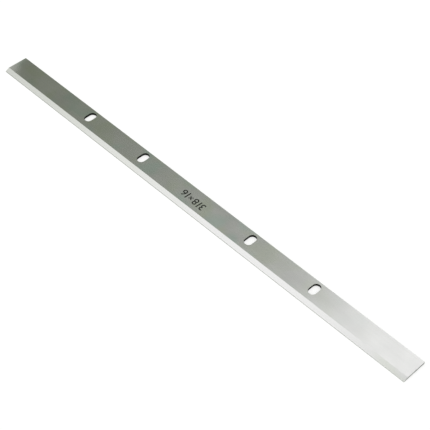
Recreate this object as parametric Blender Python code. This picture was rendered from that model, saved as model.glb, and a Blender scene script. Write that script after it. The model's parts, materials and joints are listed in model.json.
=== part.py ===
"""A planer knife: one flat bar of ground tool steel with a bevelled cutting edge and four setting slots.

Everything is in metres. The knife lies on its flat back at Z = 0. Its length runs along X, its cutting edge
faces -Y, and its bevel looks up and out over that edge. The origin is under the middle of the bar.
"""

import math

import bmesh
import bpy

MM = 0.001

# The bar
LENGTH = 317.5 * MM
WIDTH = 16.0 * MM
THICKNESS = 1.6 * MM

# The cutting edge: a fine honed strip on the very edge, then the ground bevel up to the upper face
HONE_ANGLE = math.radians(45.0)
HONE_WIDTH = 0.22 * MM
BEVEL_ANGLE = math.radians(28.0)

# The setting slots: each takes a clamp screw and is longer across the bar by the travel of the setting
SCREW_DIAMETER = 4.75 * MM
SCREW_CLEARANCE = 0.15 * MM
SLOT_TRAVEL = 3.1 * MM
SLOT_TO_BACK = 1.6 * MM
INNER_SLOT_SPACING = 86.4 * MM
PAIR_SPACING = 46.8 * MM

# The arrises that are broken with a stone: round both ends, along the back, and round each slot
ARRIS_BREAK = 0.06 * MM
ARRIS_STEPS = 2
SLOT_RIM_BREAK = 0.06 * MM

# How finely the round slot ends are drawn, and how far a slot's cutter passes each face
SLOT_END_STEPS = 20
CUTTER_OVERRUN = 0.5 * MM

# Faces that meet at less than this are shaded as one smooth surface
SMOOTH_ANGLE = math.radians(30.0)

STEEL_COLOUR = (0.56, 0.57, 0.54, 1.0)
STEEL_ROUGHNESS = 0.28

# Sizes that follow from those above
FRONT = -WIDTH / 2
BACK = WIDTH / 2
END = LENGTH / 2
HONE_HEIGHT = HONE_WIDTH * math.tan(HONE_ANGLE)
BEVEL_RUN = (THICKNESS - HONE_HEIGHT) / math.tan(BEVEL_ANGLE)
SLOT_WIDTH = SCREW_DIAMETER + SCREW_CLEARANCE
SLOT_LENGTH = SLOT_WIDTH + SLOT_TRAVEL
SLOT_CENTRE_Y = BACK - SLOT_TO_BACK - SLOT_LENGTH / 2
INNER_SLOT_X = INNER_SLOT_SPACING / 2
OUTER_SLOT_X = INNER_SLOT_X + PAIR_SPACING


def clear_scene():
    for obj in list(bpy.data.objects):
        bpy.data.objects.remove(obj, do_unlink=True)


def add_object(name, mesh_builder):
    """Turns a finished bmesh into a named object in the scene."""
    bmesh.ops.recalc_face_normals(mesh_builder, faces=mesh_builder.faces)
    mesh = bpy.data.meshes.new(name)
    mesh_builder.to_mesh(mesh)
    mesh_builder.free()
    mesh.shade_smooth()
    mesh.set_sharp_from_angle(angle=SMOOTH_ANGLE)
    obj = bpy.data.objects.new(name, mesh)
    bpy.context.scene.collection.objects.link(obj)
    return obj


def steel():
    """Bright ground tool steel with a faint green-grey cast."""
    material = bpy.data.materials.new("ground_steel")
    material.use_nodes = True
    shader = material.node_tree.nodes["Principled BSDF"]
    shader.inputs["Base Color"].default_value = STEEL_COLOUR
    shader.inputs["Metallic"].default_value = 1.0
    shader.inputs["Roughness"].default_value = STEEL_ROUGHNESS
    return material


def section():
    """The bar's cross-section as (y, z) corners, from the cutting edge round the back to the bevel."""
    return [
        (FRONT, 0.0),
        (BACK, 0.0),
        (BACK, THICKNESS),
        (FRONT + HONE_WIDTH + BEVEL_RUN, THICKNESS),
        (FRONT + HONE_WIDTH, HONE_HEIGHT),
    ]


def make_bar():
    """The section drawn out along the length. The arrises round both ends and along the back are broken, and
    the cutting edge and the lines of the bevel stay crisp."""
    bar = bmesh.new()
    left = [bar.verts.new((-END, y, z)) for y, z in section()]
    right = [bar.verts.new((END, y, z)) for y, z in section()]
    ends = [bar.faces.new(left), bar.faces.new(right)]
    for corner in range(len(left)):
        bar.faces.new((left[corner - 1], left[corner], right[corner], right[corner - 1]))
    broken = [edge for end in ends for edge in end.edges]
    for (y, _), start, finish in zip(section(), left, right):
        if y == BACK:
            broken.append(bar.edges.get((start, finish)))
    bmesh.ops.recalc_face_normals(bar, faces=bar.faces)
    bmesh.ops.bevel(
        bar,
        geom=broken,
        offset=ARRIS_BREAK,
        segments=ARRIS_STEPS,
        profile=0.5,
        affect="EDGES",
    )
    return add_object("planer_knife", bar)


def slot_outline(widening):
    """A slot's outline as (x, y) points about its centre: two half circles and the straight sides between."""
    radius = SLOT_WIDTH / 2 + widening
    points = []
    for side in (1, -1):
        for step in range(SLOT_END_STEPS + 1):
            turn = math.pi * step / SLOT_END_STEPS
            x = side * radius * math.cos(turn)
            y = side * (SLOT_TRAVEL / 2 + radius * math.sin(turn))
            points.append((x, y))
    return points


def make_slot_cutter(name, centre_x):
    """The space of one slot, which flares at both faces so that the slot's rims are broken too."""
    flare = SLOT_RIM_BREAK + CUTTER_OVERRUN
    levels = [
        (-CUTTER_OVERRUN, flare),
        (SLOT_RIM_BREAK, 0.0),
        (THICKNESS - SLOT_RIM_BREAK, 0.0),
        (THICKNESS + CUTTER_OVERRUN, flare),
    ]
    cutter = bmesh.new()
    rings = [[cutter.verts.new((x, y, z)) for x, y in slot_outline(widening)] for z, widening in levels]
    for lower, upper in zip(rings, rings[1:]):
        for corner in range(len(lower)):
            cutter.faces.new((lower[corner - 1], lower[corner], upper[corner], upper[corner - 1]))
    cutter.faces.new(rings[0])
    cutter.faces.new(rings[-1])
    obj = add_object(name, cutter)
    obj.location = (centre_x, SLOT_CENTRE_Y, 0.0)
    obj.hide_render = True
    obj.display_type = "WIRE"
    return obj


def cut_slots(bar):
    for number, centre_x in enumerate((-OUTER_SLOT_X, -INNER_SLOT_X, INNER_SLOT_X, OUTER_SLOT_X), start=1):
        cut = bar.modifiers.new(f"slot_{number}", "BOOLEAN")
        cut.operation = "DIFFERENCE"
        cut.solver = "EXACT"
        cut.object = make_slot_cutter(f"slot_cutter_{number}", centre_x)


def main():
    clear_scene()
    bar = make_bar()
    cut_slots(bar)
    bar.data.materials.append(steel())


main()
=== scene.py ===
"""The looks of a planer knife: a bar of ground tool steel with a brighter bevel, a honed edge, black scale in
its slots and its size marked in plain figures. It lies on a pale floor under two soft boxes."""

import json
import math
from collections import namedtuple

import bmesh
import bpy
from mathutils import Matrix, Quaternion, Vector


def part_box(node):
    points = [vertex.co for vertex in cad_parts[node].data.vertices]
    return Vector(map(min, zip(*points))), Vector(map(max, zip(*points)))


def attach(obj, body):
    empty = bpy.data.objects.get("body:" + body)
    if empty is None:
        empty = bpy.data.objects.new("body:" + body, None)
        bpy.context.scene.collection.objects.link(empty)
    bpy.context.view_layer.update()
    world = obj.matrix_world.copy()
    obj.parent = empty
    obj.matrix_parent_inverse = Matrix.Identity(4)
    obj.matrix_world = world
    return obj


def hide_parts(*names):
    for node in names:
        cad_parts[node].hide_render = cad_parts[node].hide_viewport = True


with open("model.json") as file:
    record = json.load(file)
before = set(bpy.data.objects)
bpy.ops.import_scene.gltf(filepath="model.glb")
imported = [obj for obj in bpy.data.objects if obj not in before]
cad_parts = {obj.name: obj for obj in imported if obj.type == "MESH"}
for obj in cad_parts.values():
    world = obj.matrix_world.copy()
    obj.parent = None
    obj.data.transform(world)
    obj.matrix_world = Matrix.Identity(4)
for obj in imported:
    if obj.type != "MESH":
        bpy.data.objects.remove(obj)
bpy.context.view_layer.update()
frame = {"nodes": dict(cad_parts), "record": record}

MM = 0.001
KNIFE = "planer_knife"

# The knife, as the frame gives it
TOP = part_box(KNIFE)[1].z
SLOT_BOXES = [opening["box_m"] for opening in frame["record"]["physics"]["openings"]]
SLOT_CENTRES = [(Vector(low) + Vector(high)) / 2 for low, high in SLOT_BOXES]

# How far from a slot's centre its walls and rims are looked for
SLOT_REACH = 4.6 * MM

# The slope of the bevel, and how far a normal may be off and still be taken for the same face's
BEVEL_ANGLE = math.radians(28.0)
SAME_FACE = math.cos(math.radians(3.0))

# Faces that meet at less than the first angle are shaded as one, and at less than the second they are one
SMOOTH_ANGLE = math.radians(15.0)
FLAT_ANGLE = math.radians(0.1)
MERGE_DISTANCE = 0.001 * MM

# The mark: the length and width in whole millimetres, in plain figures, each tilted by a few degrees. The gap
# is between one figure and the next. The boldness is how far the font's outlines are let out, as a share of
# its size. The overrun is how far the cutter stands above the face.
MARK_TEXT = "318×16"
MARK_TILTS = (2.0, -2.5, 3.0, 0.0, -1.5, 2.5)
MARK_SLOPE = math.radians(177.4)
MARK_HEIGHT = 4.8 * MM
SIGN_HEIGHT = 2.6 * MM
MARK_GAP = 1.02 * MM
MARK_BOLDNESS = 0.007
MARK_CURVE_STEPS = 5
MARK_CENTRE = Vector((0.5 * MM, 0.35 * MM, TOP))
MARK_DEPTH = 0.05 * MM
MARK_OVERRUN = 0.2 * MM

# Colours, as linear light
STEEL = (0.572, 0.565, 0.562, 1.0)
CLEAN_STEEL = (0.566, 0.566, 0.560, 1.0)
OLIVE_FILM = (0.544, 0.558, 0.500, 1.0)
TEAL_FILM = (0.508, 0.561, 0.537, 1.0)
SCUFFED_STEEL = (0.640, 0.638, 0.625, 1.0)
BEVEL_STEEL = (0.582, 0.580, 0.578, 1.0)
BEVEL_FILM = (0.556, 0.565, 0.538, 1.0)
STONED_STEEL = (0.600, 0.602, 0.590, 1.0)
STONED_FILM = (0.570, 0.575, 0.560, 1.0)
# The ends' colour is darker than the flats': partly a duller cut skin, partly painted shade for the shadowed
# floor that the ends reflect
DULL_SHADED_END_STEEL = (0.400, 0.402, 0.390, 1.0)
END_STAIN = (0.220, 0.225, 0.212, 1.0)
SCALE_BLACK = (0.012, 0.013, 0.010, 1.0)
SCALE_BROWN = (0.020, 0.018, 0.014, 1.0)
MARK_BLACK = (0.013, 0.015, 0.012, 1.0)
MARK_GREY = (0.035, 0.038, 0.032, 1.0)
FLOOR_GREY = (0.45, 0.45, 0.45, 1.0)
WHITE = (1.0, 1.0, 1.0, 1.0)

# Detail: how many lines, patches or pits there are to the metre along X, Y and Z
FINE_LINES = (14.0, 5200.0, 5200.0)
BROAD_LINES = (14.0, 1100.0, 1100.0)
FILM_PATCHES = (75.0, 75.0, 75.0)
SCUFF_PATCHES = (200.0, 200.0, 200.0)
BEVEL_LINES = (2600.0, 300.0, 300.0)
BEVEL_PATCHES = (60.0, 200.0, 200.0)
STONE_LINES = (120.0, 6000.0, 6000.0)
WHEEL_LINES = (900.0, 5000.0, 400.0)
END_PATCHES = (180.0, 180.0, 180.0)
SCALE_PITS = (1800.0, 1800.0, 1800.0)
SCALE_PATCHES = (350.0, 350.0, 350.0)
ACID_GRAIN = (3200.0, 3200.0, 3200.0)

# How deep the lines and pits are
GRIND_DEPTH = 0.0015 * MM
STONE_DEPTH = 0.00075 * MM
WHEEL_DEPTH = 0.003 * MM
PIT_DEPTH = 0.012 * MM
GRAIN_DEPTH = 0.006 * MM

# How much darker and how much lighter than its colour a surface goes with its detail
FINE_CONTRAST = 0.05
BROAD_CONTRAST = 0.025
FILM_CONTRAST = 0.09
BEVEL_CONTRAST = 0.05
END_CONTRAST = 0.15
PIT_CONTRAST = 0.5

# The least and the most roughness of each surface
FACE_ROUGHNESS = (0.14, 0.22)
BEVEL_ROUGHNESS = (0.18, 0.26)
STONED_ROUGHNESS = (0.12, 0.20)
END_ROUGHNESS = (0.32, 0.50)
SCALE_ROUGHNESS = (0.70, 0.95)
MARK_ROUGHNESS = (0.55, 0.85)
SCUFF_ROUGHNESS = 0.40

# The level of its noise at which each second colour starts to show, and the level at which it is full
OLIVE_LEVELS = (0.42, 0.66)
TEAL_LEVELS = (0.46, 0.70)
END_LEVELS = (0.35, 0.65)
SCALE_LEVELS = (0.50, 0.75)
GRAIN_LEVELS = (0.45, 0.75)

# The oil film on the upper face: the parts of its noise, in metres, that the two tints and the shading are
# taken from, and the stretch along the bar over which the film thins out
OLIVE_PART = (-1.316, 1.300, 0.0)
TEAL_PART = (1.454, 1.096, 0.0)
SHADE_PART = (0.558, -0.740, 0.0)
FILM_END = (20.0 * MM, 145.0 * MM)

# The stretch of the bevel that is clear of film, from its far edge to its near edge, and how unevenly its
# edges run. Each edge is its middle and half its fade's width.
BEVEL_CLEAN_FROM = (-35.0 * MM, 75.0 * MM)
BEVEL_CLEAN_TO = (150.0 * MM, 25.0 * MM)
BEVEL_WOBBLE = 70.0 * MM

# The scuffed corner of the upper face: the way in from the corner, and how far along it the scuff fades
SCUFF_WAY_IN = (0.816, 0.578, 0.0)
SCUFF_FADE = (-133.0 * MM, -122.5 * MM)
SCUFF_WOBBLE = 3.0 * MM

# The camera: where it stands as seen from the point that it looks at. Sensor and lens are in millimetres.
CAMERA_AZIMUTH = math.radians(45.02)
CAMERA_ELEVATION = math.radians(47.84)
CAMERA_ROLL = math.radians(1.0)
CAMERA_DISTANCE = 646.3 * MM
CAMERA_TARGET = Vector((16.0 * MM, 2.24 * MM, 0.0))
SENSOR = 36.0
LENS = 98.27

# The light from all round: pale at the horizon, dim above it, and less dim where the knife's near end looks.
# It gives way to the horizon's with the climb of a direction, and to the spill along a ceiling one unit up.
HORIZON_LIGHT = (0.95, 0.95, 0.94, 1.0)
DIM_LIGHT = (0.245, 0.271, 0.212, 1.0)
SPILL_LIGHT = (0.585, 0.610, 0.570, 1.0)
HORIZON_FADE = (0.05, 0.62)
SPILL_FADE = (-1.03, -0.45)

# A direction that climbs less than this meets the ceiling as if it climbed this much
LOWEST_CLIMB = 0.02

# The soft boxes on that ceiling. Each edge is where its fade is half way, and half the fade's width.
SoftBox = namedtuple("SoftBox", "left right front back light")
FRONT_BOX = SoftBox((-1.08, 0.80), (-0.303, 0.03), (-1.55, 0.15), (-0.05, 0.15), (1.64, 1.64, 1.64, 1.0))
BACK_BOX = SoftBox((-0.466, 0.03), (1.20, 0.30), (0.20, 0.15), (1.40, 0.15), (1.51, 1.51, 1.51, 1.0))

# The floor: how wide it is, how far under the knife it lies, and how strongly it glows
FLOOR_SIZE = 24.0
FLOOR_DROP = 0.05 * MM
FLOOR_GLOW = 0.65

# The Mix node's sockets for colours
MIX_FIRST = 6
MIX_SECOND = 7
MIX_RESULT = 2

# What stays the same all over a surface
METAL = {"Metallic": 1.0}
MATT = {"Metallic": 0.0, "Specular IOR Level": 0.1}


class Recipe:
    """Adds nodes to one node tree. A value is another node's output, a number, a vector or a colour."""

    def __init__(self, tree):
        self.tree = tree
        tree.nodes.clear()

    def add(self, kind, inputs=(), **settings):
        node = self.tree.nodes.new(kind)
        for name, value in settings.items():
            setattr(node, name, value)
        for socket, value in inputs:
            if isinstance(value, bpy.types.NodeSocket):
                self.tree.links.new(value, node.inputs[socket])
            else:
                node.inputs[socket].default_value = value
        return node

    def place(self):
        """Where a point is on the piece itself."""
        return self.add("ShaderNodeTexCoord").outputs["Object"]

    def maths(self, operation, *values):
        return self.add("ShaderNodeMath", enumerate(values), operation=operation).outputs[0]

    def split(self, vector):
        x, y, z = self.add("ShaderNodeSeparateXYZ", [(0, vector)]).outputs[:3]
        return x, y, z

    def step(self, value, low, high):
        """0 up to low, 1 from high on, and smooth between them."""
        inputs = [("Value", value), ("From Min", low), ("From Max", high)]
        return self.add("ShaderNodeMapRange", inputs, interpolation_type="SMOOTHSTEP").outputs[0]

    def between(self, value, low, high):
        """1 between two edges and 0 outside them. Each edge is its middle and half its fade's width."""
        above = self.step(value, low[0] - low[1], low[0] + low[1])
        beyond = self.step(value, high[0] - high[1], high[0] + high[1])
        return self.maths("SUBTRACT", above, beyond)

    def spread(self, value, low, high):
        """Takes 0 to 1 onto low to high."""
        inputs = [("Value", value), ("To Min", low), ("To Max", high)]
        return self.add("ShaderNodeMapRange", inputs).outputs[0]

    def noise(self, place, scales, detail, roughness=0.5):
        """Cloudy noise from 0 to 1, with as many clouds to the metre along each axis as scales says."""
        scaled = self.add("ShaderNodeVectorMath", [(0, place), (1, scales)], operation="MULTIPLY").outputs[0]
        inputs = [("Vector", scaled), ("Scale", 1.0), ("Detail", detail), ("Roughness", roughness)]
        return self.add("ShaderNodeTexNoise", inputs).outputs["Fac"]

    def mix(self, factor, first, second):
        """A colour from first, where factor is 0, to second, where it is 1."""
        inputs = [(0, factor), (MIX_FIRST, first), (MIX_SECOND, second)]
        return self.add("ShaderNodeMix", inputs, data_type="RGBA").outputs[MIX_RESULT]

    def shade(self, colour, value, contrast):
        """The colour, darker by the contrast where the value is 0 and lighter by it where the value is 1."""
        inputs = [(0, colour), ("Scale", self.spread(value, 1 - contrast, 1 + contrast))]
        return self.add("ShaderNodeVectorMath", inputs, operation="SCALE").outputs[0]

    def bump(self, height, depth):
        """The normal of a surface with lines or pits of this depth."""
        return self.add("ShaderNodeBump", [("Distance", depth), ("Height", height)]).outputs[0]

    def finish(self, colour, roughness, normal, constants):
        inputs = [("Base Color", colour), ("Roughness", roughness), ("Normal", normal), *constants.items()]
        shader = self.add("ShaderNodeBsdfPrincipled", inputs)
        self.add("ShaderNodeOutputMaterial", [("Surface", shader.outputs[0])])


def new_material(name):
    """A material without nodes, and the recipe that adds them."""
    material = bpy.data.materials.new(name)
    material.use_nodes = True
    return material, Recipe(material.node_tree)


def film_noise(recipe, place, part):
    """The oil film's patches, from 0 to 1, taken from one part of a wide noise."""
    moved = recipe.add("ShaderNodeVectorMath", [(0, place), (1, part)], operation="ADD").outputs[0]
    return recipe.noise(moved, FILM_PATCHES, detail=1.5)


def clear_of_scuff(recipe, place):
    """0 in the scuffed corner and 1 away from it, with an uneven fade between them."""
    way_in = recipe.add("ShaderNodeVectorMath", [(0, place), (1, SCUFF_WAY_IN)], operation="DOT_PRODUCT")
    wobble = recipe.spread(recipe.noise(place, SCUFF_PATCHES, detail=3.0), -SCUFF_WOBBLE, SCUFF_WOBBLE)
    return recipe.step(recipe.maths("ADD", way_in.outputs["Value"], wobble), *SCUFF_FADE)


def ground_face():
    """The flats as a surface grinder leaves them: fine lines along the bar, under patches of oil film in two
    tints, with one corner scuffed dull and pale."""
    material, recipe = new_material("ground_face")
    place = recipe.place()
    fine = recipe.noise(place, FINE_LINES, detail=4.0, roughness=0.65)
    broad = recipe.noise(place, BROAD_LINES, detail=3.0, roughness=0.6)
    olive = recipe.step(film_noise(recipe, place, OLIVE_PART), *OLIVE_LEVELS)
    teal = recipe.step(film_noise(recipe, place, TEAL_PART), *TEAL_LEVELS)
    thinned = recipe.step(recipe.split(place)[0], *FILM_END)
    clear = clear_of_scuff(recipe, place)
    colour = recipe.mix(olive, STEEL, OLIVE_FILM)
    colour = recipe.mix(teal, colour, TEAL_FILM)
    colour = recipe.mix(thinned, colour, CLEAN_STEEL)
    colour = recipe.shade(colour, film_noise(recipe, place, SHADE_PART), FILM_CONTRAST)
    colour = recipe.mix(clear, SCUFFED_STEEL, colour)
    colour = recipe.shade(colour, fine, FINE_CONTRAST)
    colour = recipe.shade(colour, broad, BROAD_CONTRAST)
    roughness = recipe.spread(fine, *FACE_ROUGHNESS)
    roughness = recipe.spread(clear, SCUFF_ROUGHNESS, roughness)
    recipe.finish(colour, roughness, recipe.bump(fine, GRIND_DEPTH), METAL)
    return material


def ground_bevel():
    """The bevel, ground by the face of a cup wheel: short lines down the slope, under a thin oil film that
    leaves one long stretch clear."""
    material, recipe = new_material("ground_bevel")
    place = recipe.place()
    lines = recipe.noise(place, BEVEL_LINES, detail=4.0, roughness=0.6)
    wobble = recipe.spread(recipe.noise(place, BEVEL_PATCHES, detail=2.0), -BEVEL_WOBBLE, BEVEL_WOBBLE)
    along = recipe.maths("ADD", recipe.split(place)[0], wobble)
    clean = recipe.between(along, BEVEL_CLEAN_FROM, BEVEL_CLEAN_TO)
    colour = recipe.mix(clean, BEVEL_FILM, BEVEL_STEEL)
    colour = recipe.shade(colour, lines, BEVEL_CONTRAST)
    roughness = recipe.spread(lines, *BEVEL_ROUGHNESS)
    recipe.finish(colour, roughness, recipe.bump(lines, GRIND_DEPTH), METAL)
    return material


def stoned_steel():
    """The honed strip and the broken arrises, brighter and smoother where a stone has passed."""
    material, recipe = new_material("stoned_steel")
    lines = recipe.noise(recipe.place(), STONE_LINES, detail=3.0, roughness=0.6)
    colour = recipe.mix(lines, STONED_STEEL, STONED_FILM)
    roughness = recipe.spread(lines, *STONED_ROUGHNESS)
    recipe.finish(colour, roughness, recipe.bump(lines, STONE_DEPTH), METAL)
    return material


def cut_end_painted_shade():
    """The two ends, cut off square and left duller than the flats, with the cutting wheel's lines up them.
    Their colour is darker than the flats', partly for a duller cut skin and partly as painted shade for the
    shadowed floor that they reflect.
    """
    material, recipe = new_material("cut_end_painted_shade")
    place = recipe.place()
    lines = recipe.noise(place, WHEEL_LINES, detail=4.0, roughness=0.65)
    stains = recipe.step(recipe.noise(place, END_PATCHES, detail=2.0), *END_LEVELS)
    colour = recipe.mix(stains, DULL_SHADED_END_STEEL, END_STAIN)
    colour = recipe.shade(colour, lines, END_CONTRAST)
    roughness = recipe.spread(lines, *END_ROUGHNESS)
    recipe.finish(colour, roughness, recipe.bump(lines, WHEEL_DEPTH), METAL)
    return material


def slot_scale():
    """The black scale that hardening leaves on the slots' walls, which no wheel reaches."""
    material, recipe = new_material("slot_scale")
    place = recipe.place()
    pits = recipe.noise(place, SCALE_PITS, detail=5.0, roughness=0.65)
    stains = recipe.step(recipe.noise(place, SCALE_PATCHES, detail=2.0), *SCALE_LEVELS)
    colour = recipe.mix(stains, SCALE_BLACK, SCALE_BROWN)
    colour = recipe.shade(colour, pits, PIT_CONTRAST)
    roughness = recipe.spread(pits, *SCALE_ROUGHNESS)
    recipe.finish(colour, roughness, recipe.bump(pits, PIT_DEPTH), MATT)
    return material


def mark_black():
    """The floors of the figures: near black, with a paler grain where the acid bit less."""
    material, recipe = new_material("mark_black")
    grain = recipe.noise(recipe.place(), ACID_GRAIN, detail=5.0, roughness=0.7)
    colour = recipe.mix(recipe.step(grain, *GRAIN_LEVELS), MARK_BLACK, MARK_GREY)
    roughness = recipe.spread(grain, *MARK_ROUGHNESS)
    recipe.finish(colour, roughness, recipe.bump(grain, GRAIN_DEPTH), MATT)
    return material


def figure(character, height):
    """One figure of the mark as a flat outline about its own centre, and how wide it is."""
    curve = bpy.data.curves.new("figure", "FONT")
    curve.body = character
    curve.resolution_u = MARK_CURVE_STEPS
    curve.offset = MARK_BOLDNESS
    text = bpy.data.objects.new("figure", curve)
    mesh = bpy.data.meshes.new_from_object(text)
    shape = bmesh.new()
    shape.from_mesh(mesh)
    bpy.data.objects.remove(text)
    bpy.data.curves.remove(curve)
    bpy.data.meshes.remove(mesh)
    bmesh.ops.remove_doubles(shape, verts=shape.verts, dist=MERGE_DISTANCE)
    corners = [vertex.co for vertex in shape.verts]
    low = Vector(map(min, zip(*corners)))
    high = Vector(map(max, zip(*corners)))
    scale = height / (high.y - low.y)
    shape.transform(Matrix.Scale(scale, 4) @ Matrix.Translation(-(low + high) / 2))
    return shape, (high.x - low.x) * scale


def mark_outline():
    """The mark's figures side by side about the origin, each with its own tilt."""
    outline = bmesh.new()
    figures = []
    end = 0.0
    for character, tilt in zip(MARK_TEXT, MARK_TILTS):
        shape, width = figure(character, MARK_HEIGHT if character.isdigit() else SIGN_HEIGHT)
        figures.append((shape, end + width / 2, tilt))
        end += width + MARK_GAP
    middle = (end - MARK_GAP) / 2
    for shape, centre, tilt in figures:
        turn = Matrix.Rotation(math.radians(tilt), 4, "Z")
        shape.transform(Matrix.Translation((centre - middle, 0.0, 0.0)) @ turn)
        mesh = bpy.data.meshes.new("figure")
        shape.to_mesh(mesh)
        shape.free()
        outline.from_mesh(mesh)
        bpy.data.meshes.remove(mesh)
    return outline


def make_mark_cutter(material):
    """The figures as solids that reach down into the upper face. Their tops are towards the cutting edge."""
    cutter = mark_outline()
    raised = bmesh.ops.extrude_face_region(cutter, geom=list(cutter.faces))
    lifted = [item for item in raised["geom"] if isinstance(item, bmesh.types.BMVert)]
    bmesh.ops.translate(cutter, verts=lifted, vec=(0.0, 0.0, MARK_DEPTH + MARK_OVERRUN))
    seat = MARK_CENTRE - Vector((0.0, 0.0, MARK_DEPTH))
    cutter.transform(Matrix.Translation(seat) @ Matrix.Rotation(MARK_SLOPE, 4, "Z"))
    cutter.normal_update()
    bmesh.ops.recalc_face_normals(cutter, faces=cutter.faces)
    mesh = bpy.data.meshes.new("mark_cutter")
    cutter.to_mesh(mesh)
    cutter.free()
    mesh.materials.append(material)
    return bpy.data.objects.new("mark_cutter", mesh)


def cut_mark(knife, material):
    """Cuts the figures into the knife. The faces that the cut leaves are of the material."""
    cutter = make_mark_cutter(material)
    bpy.context.scene.collection.objects.link(cutter)
    cut = knife.modifiers.new("mark", "BOOLEAN")
    cut.operation = "DIFFERENCE"
    cut.solver = "EXACT"
    cut.material_mode = "TRANSFER"
    cut.object = cutter
    depsgraph = bpy.context.evaluated_depsgraph_get()
    marked = bpy.data.meshes.new_from_object(knife.evaluated_get(depsgraph))
    knife.modifiers.clear()
    knife.data = marked
    bpy.data.objects.remove(cutter)


def in_slot(point):
    """Whether a point is in one of the slots or on its rims."""
    return any((point - centre).to_2d().length < SLOT_REACH for centre in SLOT_CENTRES)


def finish_of(face):
    """Which finish a face of the knife has."""
    normal = face.normal
    bevel = Vector((0.0, -math.sin(BEVEL_ANGLE), math.cos(BEVEL_ANGLE)))
    if in_slot(face.calc_center_median()) and abs(normal.z) < SAME_FACE:
        return "slot_scale"
    if normal.dot(bevel) > SAME_FACE:
        return "ground_bevel"
    if abs(normal.x) > SAME_FACE:
        return "cut_end_painted_shade"
    if max(abs(normal.y), abs(normal.z)) > SAME_FACE:
        return "ground_face"
    return "stoned_steel"


def finished_mesh(materials):
    """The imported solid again, with each of its faces in its own finish."""
    names = list(materials)
    solid = bmesh.new()
    solid.from_mesh(frame["nodes"][KNIFE].data)
    bmesh.ops.remove_doubles(solid, verts=solid.verts, dist=MERGE_DISTANCE)
    bmesh.ops.dissolve_limit(solid, angle_limit=FLAT_ANGLE, verts=solid.verts, edges=solid.edges)
    for face in solid.faces:
        face.material_index = names.index(finish_of(face))
    mesh = bpy.data.meshes.new("knife")
    solid.to_mesh(mesh)
    solid.free()
    for material in materials.values():
        mesh.materials.append(material)
    return mesh


def make_knife():
    """The knife as it is seen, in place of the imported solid."""
    makers = (ground_face, ground_bevel, stoned_steel, cut_end_painted_shade, slot_scale, mark_black)
    materials = {maker.__name__: maker() for maker in makers}
    knife = bpy.data.objects.new("finished_knife", finished_mesh(materials))
    bpy.context.scene.collection.objects.link(knife)
    cut_mark(knife, materials["mark_black"])
    knife.data.shade_smooth()
    knife.data.set_sharp_from_angle(angle=SMOOTH_ANGLE)
    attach(knife, "root")
    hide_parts(KNIFE)


def floor_material():
    """Matt and pale. It also glows for what looks straight at it or reflects it, so that it shows as white
    and still takes the knife's shadow."""
    material, recipe = new_material("pale_floor")
    ray = recipe.add("ShaderNodeLightPath").outputs
    seen = recipe.maths("MAXIMUM", ray["Is Camera Ray"], ray["Is Glossy Ray"])
    seen = recipe.maths("MAXIMUM", seen, ray["Is Transmission Ray"])
    strength = recipe.maths("MULTIPLY", seen, FLOOR_GLOW)
    glow = recipe.add("ShaderNodeEmission", [("Color", WHITE), ("Strength", strength)])
    matt = recipe.add("ShaderNodeBsdfDiffuse", [("Color", FLOOR_GREY)])
    both = recipe.add("ShaderNodeAddShader", [(0, glow.outputs[0]), (1, matt.outputs[0])])
    recipe.add("ShaderNodeOutputMaterial", [("Surface", both.outputs[0])])
    return material


def make_floor():
    """The floor that the knife lies on, which isn't part of it."""
    plane = bmesh.new()
    bmesh.ops.create_grid(plane, x_segments=1, y_segments=1, size=FLOOR_SIZE / 2)
    mesh = bpy.data.meshes.new("floor")
    plane.to_mesh(mesh)
    plane.free()
    mesh.materials.append(floor_material())
    floor = bpy.data.objects.new("floor", mesh)
    floor.location = (0.0, 0.0, -FLOOR_DROP)
    bpy.context.scene.collection.objects.link(floor)


def make_light():
    """A plain studio: pale at the horizon, dimmer above it, with one soft box in front and one behind."""
    world = bpy.data.worlds.new("studio")
    world.use_nodes = True
    recipe = Recipe(world.node_tree)
    towards = recipe.add("ShaderNodeTexCoord").outputs["Generated"]
    x, y, z = recipe.split(towards)
    climb = recipe.maths("MAXIMUM", z, LOWEST_CLIMB)
    ceiling_x = recipe.maths("DIVIDE", x, climb)
    ceiling_y = recipe.maths("DIVIDE", y, climb)
    above = recipe.mix(recipe.step(ceiling_x, *SPILL_FADE), DIM_LIGHT, SPILL_LIGHT)
    light = recipe.mix(recipe.step(z, *HORIZON_FADE), HORIZON_LIGHT, above)
    for box in (FRONT_BOX, BACK_BOX):
        inside = recipe.maths(
            "MULTIPLY",
            recipe.between(ceiling_x, box.left, box.right),
            recipe.between(ceiling_y, box.front, box.back),
        )
        light = recipe.mix(inside, light, box.light)
    background = recipe.add("ShaderNodeBackground", [("Color", light), ("Strength", 1.0)])
    recipe.add("ShaderNodeOutputWorld", [("Surface", background.outputs[0])])
    bpy.context.scene.world = world


def make_camera():
    """The camera at the photograph's angle."""
    data = bpy.data.cameras.new("camera")
    data.sensor_width = SENSOR
    data.lens = LENS
    camera = bpy.data.objects.new("camera", data)
    away = Vector((
        math.sin(CAMERA_AZIMUTH) * math.cos(CAMERA_ELEVATION),
        -math.cos(CAMERA_AZIMUTH) * math.cos(CAMERA_ELEVATION),
        math.sin(CAMERA_ELEVATION),
    ))
    camera.location = CAMERA_TARGET + away * CAMERA_DISTANCE
    level = (-away).to_track_quat("-Z", "Y")
    camera.rotation_mode = "QUATERNION"
    camera.rotation_quaternion = level @ Quaternion((0.0, 0.0, 1.0), CAMERA_ROLL)
    bpy.context.scene.collection.objects.link(camera)
    bpy.context.scene.camera = camera


make_knife()
make_floor()
make_light()
make_camera()
bpy.context.scene.view_settings.view_transform = "Standard"
